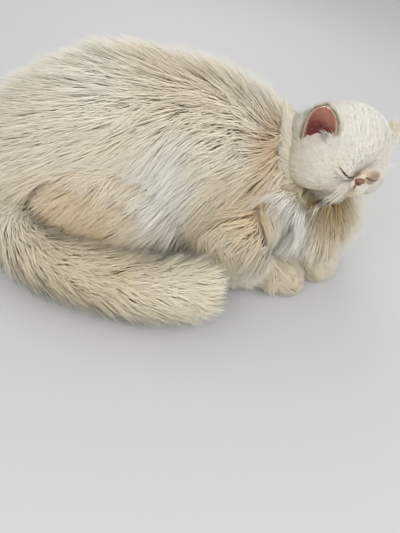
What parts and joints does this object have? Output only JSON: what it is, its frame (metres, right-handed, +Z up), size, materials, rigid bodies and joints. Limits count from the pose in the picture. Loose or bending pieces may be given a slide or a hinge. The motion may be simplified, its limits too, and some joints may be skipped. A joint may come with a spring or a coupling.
{
  "type": "persian cat",
  "caption": "Long-coated cat lying on its belly with its head turned aside, its eyes shut and its tail laid forward along its flank.",
  "frame": {"origin": "on the floor under the middle of the cat's belly", "axes": "+X ahead of the cat, from rump to chest; +Y to its left; +Z up"},
  "size_m": [0.4695, 0.3179, 0.2283],
  "materials": {
    "cream_coat": "soft cream-white hair, golden on the flank",
    "ear_skin": "thin bare pink skin",
    "nose_leather": "fine-grained, slightly damp",
    "eye_amber": "wet gloss"
  },
  "bodies": {
    "root": {"torso": "cream_coat", "neck": "cream_coat", "head": "cream_coat", "thigh_right": "cream_coat", "thigh_left": "cream_coat", "foreleg_right": "cream_coat", "foreleg_left": "cream_coat", "tail_root": "cream_coat", "tail_middle": "cream_coat", "tail_fore": "cream_coat", "tail_tip": "cream_coat", "forepaw_right": "cream_coat", "forepaw_left": "cream_coat", "hindpaw_right": "cream_coat", "hindpaw_left": "cream_coat", "hindfoot_right": "cream_coat", "hindfoot_left": "cream_coat", "ear_right": "ear_skin", "ear_left": "ear_skin", "nose": "nose_leather", "eye_right": "eye_amber", "eye_left": "eye_amber"}
  },
  "joints": []
}
